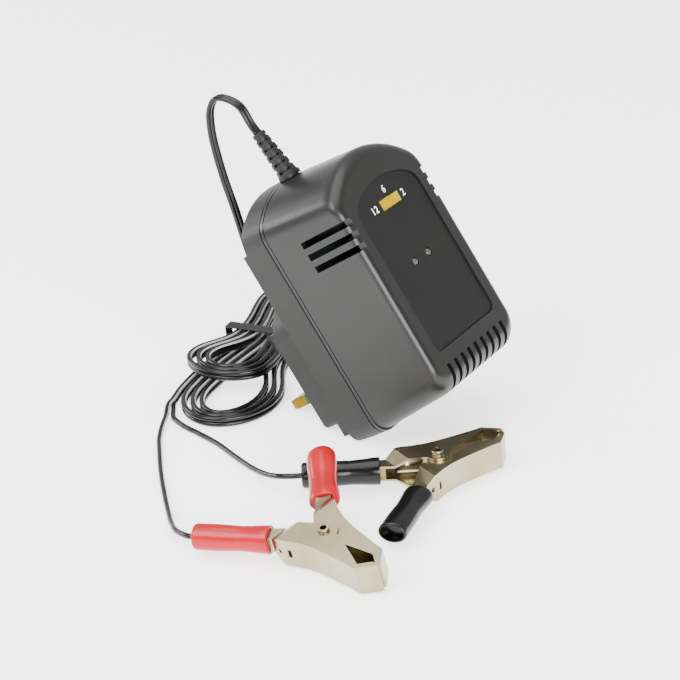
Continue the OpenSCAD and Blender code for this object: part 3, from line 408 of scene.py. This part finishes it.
def clip_place(x, y, turn, tilt, flip):
    """Matrix that carries a clip's own measures to its place on the table, both in mm."""
    pivot = Vector((CABLE_END.x, CABLE_END.y, -CLIP_W / 2))
    m = Matrix.Translation((x, y, CLIP_W / 2 + RIVET_HEAD_T)) @ spin(turn, "Z")
    m = m @ Matrix.Translation(pivot)
    m = m @ spin(TILT_AXIS, "Z") @ spin(tilt, "X") @ spin(-TILT_AXIS, "Z")
    m = m @ Matrix.Translation(-pivot)
    return m @ Matrix.Diagonal((1, -1 if flip else 1, 1, 1))


RED_CLIP = clip_place(-107.2, -46.8, -109.2, 15.5, False)
BLACK_CLIP = clip_place(-42.8, -51.8, -27.4, 0, True)

# ---------------------------------------------------------------- finished copies of nodes


def finished(node, material, edge=0.0, sharp=32, segments=2, rides=True):
    """Merged copy of a node with eased edges and smooth curves, in its place."""
    source = nodes[node]
    piece = bpy.data.objects.new(node + "_finish", source.data.copy())
    bpy.context.scene.collection.objects.link(piece)
    coat(piece, material)
    only(piece)
    bpy.ops.object.mode_set(mode="EDIT")
    bpy.ops.mesh.select_all(action="SELECT")
    bpy.ops.mesh.remove_doubles(threshold=2e-6)
    bpy.ops.mesh.dissolve_limited(angle_limit=math.radians(0.3))
    bpy.ops.object.mode_set(mode="OBJECT")
    if edge:
        bevelled(piece, edge, segments, sharp)
    bpy.ops.object.shade_smooth_by_angle(angle=math.radians(sharp))
    flat = piece.modifiers.new("flat", "WEIGHTED_NORMAL")
    flat.keep_sharp = True
    flat.weight = 60
    apply(flat, piece)
    if rides:
        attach(piece, source["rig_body"])
    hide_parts(node)
    return piece


# each node's material, eased edge in mm, least angle of an edge, and steps of its easing;
# a spring rides on no body
FINISHES = {
    "front_cover": (case_front, 0.12), "rear_cover": (case_rear, 0.12),
    "label_plate": (film, 0.05),
    "switch_knob": (yellow_acetal, 0.12), "charge_lamp": (clear_epoxy, 0),
    "polarity_lamp": (clear_epoxy, 0), "live_pin": (brass, 0.9, 32, 4),
    "neutral_pin": (brass, 0.9, 32, 4), "earth_pin": (black_nylon, 0.15),
    "pin_sleeves": (black_nylon, 0), "case_screws": (zinc_steel, 0.1),
    "hank_tie": (black_core, 0.7, 32, 3),
    "red_fixed_jaw": (nickel, 0.4, 32, 3), "red_moving_jaw": (nickel, 0.4, 32, 3),
    "black_fixed_jaw": (nickel, 0.4, 32, 3), "black_moving_jaw": (nickel, 0.4, 32, 3),
    "red_rivet": (nickel, 0.12), "black_rivet": (nickel, 0.12),
    "red_spring": (spring_steel, 0, 32, 2, False),
    "black_spring": (spring_steel, 0, 32, 2, False),
    "red_cable_sleeve": (red_vinyl, 0.2), "black_cable_sleeve": (black_vinyl, 0.2),
}
finish = {n: finished(n, *look) for n, look in FINISHES.items()}


def sprung(piece):
    """Bakes a clip's spring into its place, on no body."""
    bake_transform(piece)


sprung(finish["red_spring"])
sprung(finish["black_spring"])

# ---------------------------------------------------------------- free sleeves

# 0.3 mm thinner than the source's, so that an open clip clears its cable sleeve
SLEEVE_LEN, SLEEVE_W, SLEEVE_T = 28.0, 10.4, 7.7
# how deep the handle goes into a sleeve, and its slack on each side
HANDLE_IN, HANDLE_SLACK = 24.0, 0.02
# rings from the mouth to the far end: how far along, and how much wider than the middle
SLEEVE_RINGS = [(0, 0), (0.3, 0.2), (1.1, 0.3), (2.5, 0.26), (4.5, 0.1), (6.7, -0.1),
                (8.7, -0.22), (10.6, -0.28), (12.6, -0.24), (14.6, -0.12), (16.8, 0),
                (19, 0.06), (21.3, 0.08), (23.2, 0.06)]
# then over the lip of an open end and back inside
LIP_RINGS = [(25.5, 0.04), (27, 0), (27.6, -0.05), (27.9, -0.22), (SLEEVE_LEN, -0.5),
             (27.9, -0.8), (27.5, -0.95), (24.8, -1.05)]
# or over the round end of a closed one
DOME_STEPS, DOME_STEP_ANGLE, DOME_FULLNESS = 9, 9.8, 0.85


def sleeve_rings(closed):
    """Each ring's distance from the mouth, half width and half thickness."""
    w, t = SLEEVE_W / 2, SLEEVE_T / 2
    rings = [(z, w + more, t + more / 2) for z, more in SLEEVE_RINGS]
    if not closed:
        return rings + [(z, w + more, t + more) for z, more in LIP_RINGS]
    start, wide, thick = rings[-1]
    for i in range(DOME_STEPS):
        a = DOME_STEP_ANGLE * (i + 1)
        k = cos_d(a) ** DOME_FULLNESS
        rings.append((start + (SLEEVE_LEN - start) * sin_d(a), wide * k, thick * k))
    return rings


def free_sleeve(node, body, clip, material, closed):
    """Dipped sleeve: a wide mouth round the handle, a waist, and a round or an open end."""
    rings = sleeve_rings(closed)
    bpy.ops.object.select_all(action="DESELECT")
    bpy.ops.mesh.primitive_circle_add(vertices=48, radius=1, fill_type="NGON")
    piece = bpy.context.object
    piece.name = node + "_dipped"
    piece.data.name = piece.name
    bpy.ops.object.mode_set(mode="EDIT")
    bpy.ops.mesh.select_all(action="SELECT")
    bpy.ops.transform.resize(value=(*rings[0][1:], 1), center_override=(0, 0, 0))
    for (z0, w0, t0), (z1, w1, t1) in zip(rings, rings[1:]):
        bpy.ops.mesh.extrude_region_move(TRANSFORM_OT_translate={"value": (0, 0, z1 - z0)})
        bpy.ops.transform.resize(value=(w1 / w0, t1 / t0, 1), center_override=(0, 0, z1))
    bpy.ops.object.mode_set(mode="OBJECT")
    face_outward(piece)
    # the handle's pocket, which starts a little before the mouth
    before = 2
    bpy.ops.mesh.primitive_cube_add(size=1, location=(0, 0, (HANDLE_IN - before) / 2))
    pocket = bpy.context.object
    pocket.scale = (HANDLE_W + 2 * HANDLE_SLACK, HANDLE_T + 2 * HANDLE_SLACK,
                    HANDLE_IN + before)
    joined(piece, pocket, "DIFFERENCE")
    # along the handle, across it, and through its thickness
    stand = Matrix(((0, 0, 1, HANDLE_LEN - SLEEVE_LEN), (1, 0, 0, 0), (0, 1, 0, 0),
                    (0, 0, 0, 1)))
    piece.data.transform(Matrix.Scale(MM, 4) @ clip @ spin(180 - FREE_ANGLE, "Z") @ stand)
    face_outward(piece)
    bpy.ops.object.shade_smooth_by_angle(angle=math.radians(50))
    coat(piece, material)
    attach(piece, body)
    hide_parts(node)


free_sleeve("red_free_sleeve", "red_jaw", RED_CLIP, red_vinyl, True)
free_sleeve("black_free_sleeve", "black_jaw", BLACK_CLIP, black_vinyl, False)

# ---------------------------------------------------------------- cords

# the hank spirals in on its upper layer and out again on its lower one
HANK_AT, HANK_AXIS, HANK_TURNS, HANK_RINGS = (25, 65), 5, 3, 72
HANK_END = 2 * HANK_TURNS + 0.375
HANK_STEP = CORE_D + 0.7
HANK_LOW = CORE_D + 0.1
HANK_HIGH = HANK_LOW + 2 * CORE_D + 0.6
# turns that the change of layer takes, and how far it is drawn in along and across
LAYER_CHANGE, DRAWN_ALONG, DRAWN_ACROSS = 0.5, 2, 5
# each lobe's reach, half width and turn away from the hank's axis
UPPER_LOBE, LOWER_LOBE, HIDDEN_LOBE = (30, 15, -8), (58, 17, 9), (42, 15, 0)
# how fast the waist and the lobes widen from loop to loop, and how soon a lobe turns away
WAIST_HALF, WAIST_GROWTH, LOBE_GROWTH, LOBE_SWING = CORE_R + 0.9, 1.35, 1.9, 1.6


def smooth(k):
    """Eased step from 0 to 1."""
    c = min(max(k, 0), 1)
    return c * c * (3 - 2 * c)


def hank_point(t):
    """A point of the hank, at t turns from its start."""
    k = smooth((t - HANK_TURNS + LAYER_CHANGE / 2) / LAYER_CHANGE)
    out = abs(t - HANK_TURNS) * HANK_STEP
    th = 360 * t
    lobe = HIDDEN_LOBE if cos_d(th) > 0 else UPPER_LOBE if t < HANK_TURNS else LOWER_LOBE
    pull = 4 * k * (1 - k)
    x = (lobe[0] + out - DRAWN_ALONG * pull) * cos_d(th)
    waist = WAIST_HALF + WAIST_GROWTH * out
    half = lobe[1] + LOBE_GROWTH * out - DRAWN_ACROSS * pull
    y = sin_d(th) * (waist + (half - waist) * (1 - sin_d(th) ** 4))
    a = HANK_AXIS + lobe[2] * smooth(abs(cos_d(th)) * LOBE_SWING)
    return Vector((HANK_AT[0] + x * cos_d(a) - y * sin_d(a),
                   HANK_AT[1] + x * sin_d(a) + y * cos_d(a),
                   HANK_HIGH + (HANK_LOW - HANK_HIGH) * k))


def smooth_line(route, steps):
    """Even curve through every point of a route, with no loop where points lie close."""
    p = [Vector(q) for q in route]
    p = [2 * p[0] - p[1]] + p + [2 * p[-1] - p[-2]]
    line = []
    for a, b, c, d in zip(p, p[1:], p[2:], p[3:]):
        ta = -math.sqrt((b - a).length)
        tc = math.sqrt((c - b).length)
        td = tc + math.sqrt((d - c).length)
        for j in range(steps):
            t = tc * j / steps
            ab = (a * -t + b * (t - ta)) / -ta
            bc = (b * (tc - t) + c * t) / tc
            cd = (c * (td - t) + d * (t - tc)) / (td - tc)
            abc = (ab * (tc - t) + bc * (t - ta)) / (tc - ta)
            bcd = (bc * (td - t) + cd * t) / td
            line.append((abc * (tc - t) + bcd * t) / tc)
    return line + [p[-2]]


def heading(line, i):
    """Direction of a line at its point i."""
    return (line[min(i + 1, len(line) - 1)] - line[max(i - 1, 0)]).normalized()


def carried(line, start):
    """A direction square to the line, carried along it without a twist."""
    out = []
    u = Vector(start)
    for i in range(len(line)):
        t = heading(line, i)
        u = (u - t * u.dot(t)).normalized()
        out.append(u.copy())
    return out


# sides of a core's tube, and where its stripe stands from the way up, in degrees
CORE_SIDES, STRIPE_AT = 14, 62


def tube(name, line, up):
    """Closed round core along a line, with an attribute that tells where round it a point is."""
    sides = CORE_SIDES
    verts, faces, around = [], [], []
    for i, p in enumerate(line):
        t, u = heading(line, i), up[i]
        s = u.cross(t).normalized()
        for j in range(sides):
            a = 360 * j / sides
            verts.append((p + (u * cos_d(a) + s * sin_d(a)) * CORE_R) * MM)
            # distance round the tube from the stripe's middle, 0 to 0.5
            share = ((a - STRIPE_AT) / 360) % 1
            around.append(min(share, 1 - share))
    n = len(line)
    for i in range(n - 1):
        for j in range(sides):
            q = (j + 1) % sides
            faces.append((i * sides + j, i * sides + q, (i + 1) * sides + q, (i + 1) * sides + j))
    faces.append(tuple(range(sides))[::-1])
    faces.append(tuple((n - 1) * sides + j for j in range(sides)))
    mesh = bpy.data.meshes.new(name)
    mesh.from_pydata(verts, [], faces)
    mesh.attributes.new("around", "FLOAT", "POINT").data.foreach_set("value", around)
    mesh.validate()
    mesh.shade_smooth()
    piece = bpy.data.objects.new(name, mesh)
    bpy.context.scene.collection.objects.link(piece)
    face_outward(piece)
    return piece


relief_tip = case_point((0, RELIEF_Y + (RELIEF_LEN + 0.1) * sin_d(RELIEF_BEND),
                         ARCH_TOP + (RELIEF_LEN + 0.1) * cos_d(RELIEF_BEND)))
relief_out = case_way((0, sin_d(RELIEF_BEND), cos_d(RELIEF_BEND)))
hank = [hank_point(i / HANK_RINGS) for i in range(int(HANK_END * HANK_RINGS) + 1)]
ARCH_ROUTE = [
    relief_tip, relief_tip + relief_out * 4, (0, 49.2, 114.7), (0, 54.7, 117),
    (0, 59.7, 116.6), (0, 62.7, 112), (0, 63.3, 104), (0, 62.3, 96), (0, 59.6, 84),
    (0, 56, 72), (2, 54, 58), (8, 54.3, 44), (19.5, 52.2, 30), (37, 48, 18), (55, 46, 9.6),
    (66, 47.5, 7.2), (73, 56.5, 7), hank[0] - 5 * heading(hank, 0),
    hank[0] - 2 * heading(hank, 0), hank[0],
]
# from the hank to each clip's sleeve
RED_ROUTE = [(-34.5, 71.8, 3.2), (-41, 68.4, 2.4), (-48, 65.4, 1.8), (-56.5, 60.8, 1.3),
             (-66, 54, 1.3), (-78, 45, 1.3), (-91.5, 34, 1.3), (-102.3, 24.8, 1.9),
             (-110.6, 17.5, 3.1), (-116.9, 10.8, 4.8)]
BLACK_ROUTE = [(-34, 70.1, 1.2), (-39.5, 66, 1.2), (-43.5, 59, 1.2), (-46.5, 50, 1.2),
               (-50.5, 39, 1.2), (-56.7, 27, 1.4), (-63.3, 14.8, 2.3), (-68, 5, 4),
               (-69.9, -2, 5.7)]

# share of the arch where the flex starts to turn on edge, and share that this takes
EDGE_FROM, EDGE_OVER = 0.45, 0.5
ROUTE_STEPS = 8


def twin_line():
    """Middle of the twin flex and the way from its black core to its striped one."""
    arch = smooth_line(ARCH_ROUTE, ROUTE_STEPS)[:-1]
    line = arch + hank
    up = carried(line, (1, 0, 0))
    # the flex lies on edge in the hank, and turns on edge before it enters it
    n = len(arch)
    for i in range(n, len(line)):
        t = heading(line, i)
        up[i] = (Vector((0, 0, 1)) - t * t.z).normalized()
    back = carried(line[:n + 1][::-1], up[n])[::-1]
    for i in range(n):
        k = smooth((i / n - EDGE_FROM) / EDGE_OVER)
        t = heading(line, i)
        a = up[i].angle(back[i]) * (1 if up[i].cross(back[i]).dot(t) > 0 else -1)
        up[i] = Matrix.Rotation(a * k, 3, t) @ up[i]
    return line, up


flex_line, flex_up = twin_line()
# the moulding joins the cores, which stand a little less than a diameter apart
CORE_OFFSET = 0.97 * CORE_R
# a lead's straight stretches where it leaves the hank and before it enters its sleeve
STRAIGHT_OUT, STRAIGHT_IN = 3, 2.5


def core(name, side, route, clip, material, node_list):
    """One core of the twin flex, from the grommet through the hank to its clip."""
    path = [p + u * side * CORE_OFFSET for p, u in zip(flex_line, flex_up)]
    start, way = path[-1], heading(flex_line, len(flex_line) - 1)
    tail = clip @ CABLE_END
    out = (clip.to_3x3() @ CABLE_WAY).normalized()
    lead = smooth_line([start, start + way * STRAIGHT_OUT, *route, tail + out * STRAIGHT_IN,
                        tail], ROUTE_STEPS)[1:]
    up = flex_up + carried([start] + lead, flex_up[-1])[1:]
    path += lead
    piece = tube(name, path, up)
    coat(piece, material)
    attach(piece, "charger")
    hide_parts(*node_list)


core("striped_core_cable", 1, RED_ROUTE, RED_CLIP, striped_core,
     ["flex_arch", "flex_hank", "red_lead"])
core("plain_core_cable", -1, BLACK_ROUTE, BLACK_CLIP, black_core,
     ["black_lead"])

# ---------------------------------------------------------------- strain relief

# radii at the foot, at the tip and round the flex, and the wall of the cover
RELIEF_R, RELIEF_TOP_R, RELIEF_CORE_R, COVER_WALL = 4.0, 2.6, CORE_R + 0.85, 2.2
# pairs of windows, their height, where they start, and how they stand round the axis
WINDOWS, WINDOW_H, WINDOW_FROM, WINDOW_TURN = 10, 1.0, 2.3, 33
# length that both ends keep without windows
PLAIN_ENDS = 3.2


def turned(name, r1, r2, low, high):
    """Cone or cylinder between two heights on the relief's own axis."""
    bpy.ops.object.select_all(action="DESELECT")
    bpy.ops.mesh.primitive_cone_add(vertices=48, radius1=r1 * MM, radius2=r2 * MM,
                                    depth=(high - low) * MM,
                                    location=(0, 0, (high + low) / 2 * MM))
    piece = bpy.context.object
    piece.name = name
    bpy.ops.object.transform_apply(location=True, rotation=True, scale=True)
    return piece


def relief_window(i):
    """Bar that cuts one pair of windows, each a quarter turn from the last."""
    middle = WINDOW_FROM + i * (RELIEF_LEN - PLAIN_ENDS) / WINDOWS + WINDOW_H / 2
    radius = RELIEF_R - (RELIEF_R - RELIEF_TOP_R) * middle / RELIEF_LEN
    bpy.ops.mesh.primitive_cube_add(size=1, location=(0, 0, middle * MM),
                                    rotation=(0, 0, math.radians(WINDOW_TURN + 90 * (i % 2))))
    window = bpy.context.object
    window.scale = (3 * RELIEF_R * MM, 1.25 * radius * MM, WINDOW_H * MM)
    bpy.ops.object.transform_apply(location=True, rotation=True, scale=True)
    return window


def strain_relief():
    """Tapered grommet with windows in turn on its two sides, round the flex."""
    body = turned("strain_relief_finish", RELIEF_R, RELIEF_TOP_R, 0, RELIEF_LEN)
    for i in range(WINDOWS):
        joined(body, relief_window(i), "DIFFERENCE")
    # a tapered middle, so that no window shows through
    joined(body, turned("middle", RELIEF_CORE_R + 0.95, RELIEF_CORE_R, 0.1,
                        RELIEF_LEN - 0.05), "UNION")
    body.data.transform(spin(-RELIEF_BEND, "X"))
    # collar on the arch, neck through the wall and flange behind it
    joined(body, turned("collar", 4.5, 4.4, 0, 1.8), "UNION")
    joined(body, turned("neck", 3.0, 3.0, -COVER_WALL - 1.6, 0.4), "UNION")
    joined(body, turned("flange", 4.3, 4.3, -COVER_WALL - 2.4, -COVER_WALL - 0.8), "UNION")
    bevelled(body, 0.15, 2, 35)
    bpy.ops.object.shade_smooth_by_angle(angle=math.radians(35))
    stand = Matrix.Translation((0, STAND_Y * MM, -REST_DROP * MM)) @ spin(-LEAN, "X")
    seat = Matrix.Translation((0, RELIEF_Y * MM, ARCH_TOP * MM))
    body.data.transform(stand @ seat)
    coat(body, grommet)
    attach(body, "charger")
    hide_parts("strain_relief")


strain_relief()

# ---------------------------------------------------------------- materials of the nodes

# a replaced node stays hidden, and has its piece's material
NODE_MATERIALS = {
    "main_board": board_laminate, "control_board": board_laminate,
    "board_link": tinned_wire, "board_screws": zinc_steel, "transformer_core": ferrite,
    "transformer_winding": tape, "input_capacitor": can_sleeve,
    "output_capacitor": can_sleeve, "rectifier": moulding_black,
    "switching_transistor": moulding_black, "heat_sink": extruded_aluminium,
    "fuse_resistor": lacquer_green, "switch_body": glass_nylon,
    "flex_arch": black_core, "flex_hank": black_core, "red_lead": striped_core,
    "black_lead": black_core, "strain_relief": grommet,
    "red_free_sleeve": red_vinyl, "black_free_sleeve": black_vinyl,
    **{name: look[0] for name, look in FINISHES.items()},
}
for name, material in NODE_MATERIALS.items():
    coat(nodes[name], material)

# ---------------------------------------------------------------- numbers at the switch

# size of the numbers, spread of their strokes, and the ink's thickness and place, in mm
NUMBER_SIZE, STROKE_SPREAD, INK_T, INK_LIFT = 3.9, 0.05, 0.01, 0.015


def number(text, x, z):
    """White number on the label plate, at a place on the upright front."""
    bpy.ops.object.text_add()
    piece = bpy.context.object
    piece.data.body = text
    piece.data.size = NUMBER_SIZE * MM
    piece.data.align_x = "CENTER"
    piece.data.align_y = "CENTER"
    piece.data.extrude = INK_T * MM
    piece.data.offset = STROKE_SPREAD * MM
    piece.data.space_character = 1.12
    only(piece)
    bpy.ops.object.convert(target="MESH")
    face = -CASE_D + LABEL_RECESS - LABEL_T - INK_LIFT
    place = Matrix.Translation(case_point((x, face, z)) * MM)
    piece.data.transform(place @ spin(90 - LEAN, "X"))
    piece.name = "number_" + text
    piece.data.name = piece.name
    coat(piece, ink)
    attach(piece, "charger")


number("12", -10.1, 73.5)
number("6", 0.4, 78.3)
number("2", 9.3, 73.3)

# ---------------------------------------------------------------- floor and light


def floor():
    """Wide pale plane just under the charger, which glows a little to stay white."""
    bpy.ops.object.select_all(action="DESELECT")
    bpy.ops.mesh.primitive_plane_add(size=8, location=(0, 0, -0.2 * MM))
    ground = bpy.context.object
    ground.name = "floor"
    bpy.ops.object.transform_apply(location=True, rotation=True, scale=True)
    material, tree, shader, place = surface("pale_floor", Roughness=0.7,
                                            Specular_IOR_Level=0.1,
                                            Emission_Color=WHITE,
                                            Emission_Strength=1.8)
    mottled(tree, shader, place, "#f4f4f3", "#f8f8f7", 0.002)
    coat(ground, material)


floor()


def studio():
    """White room that is darkest on the side it is seen from."""
    world = bpy.data.worlds.new("studio")
    bpy.context.scene.world = world
    world.use_nodes = True
    tree = world.node_tree
    place = add(tree, "TexCoord")
    ahead = add(tree, "VectorMath", {"Vector": (place, "Generated")}, operation="DOT_PRODUCT")
    ahead.inputs[1].default_value = Vector((-0.62, -0.68, 0.38)).normalized()
    span = add(tree, "ValToRGB", {"Fac": (ahead, "Value")})
    span.color_ramp.interpolation = "EASE"
    ramp_between(span, 0.35, 0.9, WHITE, (0.12, 0.12, 0.12, 1))
    tree.links.new(span.outputs["Color"], tree.nodes["Background"].inputs["Color"])


def soft_light(name, place, aim, size, watts):
    """White panel of the given size in metres, turned towards a point."""
    data = bpy.data.lights.new(name, "AREA")
    data.shape = "RECTANGLE"
    data.size, data.size_y = size
    data.energy = watts
    lamp = bpy.data.objects.new(name, data)
    bpy.context.scene.collection.objects.link(lamp)
    lamp.location = place
    away = Vector(place) - Vector(aim)
    lamp.rotation_euler = away.to_track_quat("Z", "Y").to_euler()


studio()
soft_light("key", (-1.1, 0.4, 1.2), (0, 0, 0.05), (0.9, 0.9), 28)
soft_light("top", (0.0, 0.1, 1.6), (0, 0, 0.05), (1.6, 1.6), 32)
soft_light("strip", (-0.80, -0.86, 0.43), (-0.03, -0.02, 0.06), (0.85, 0.5), 29)
soft_light("rim", (-0.16, 1.25, 0.45), (-0.03, 0.02, 0.08), (0.7, 0.14), 9)
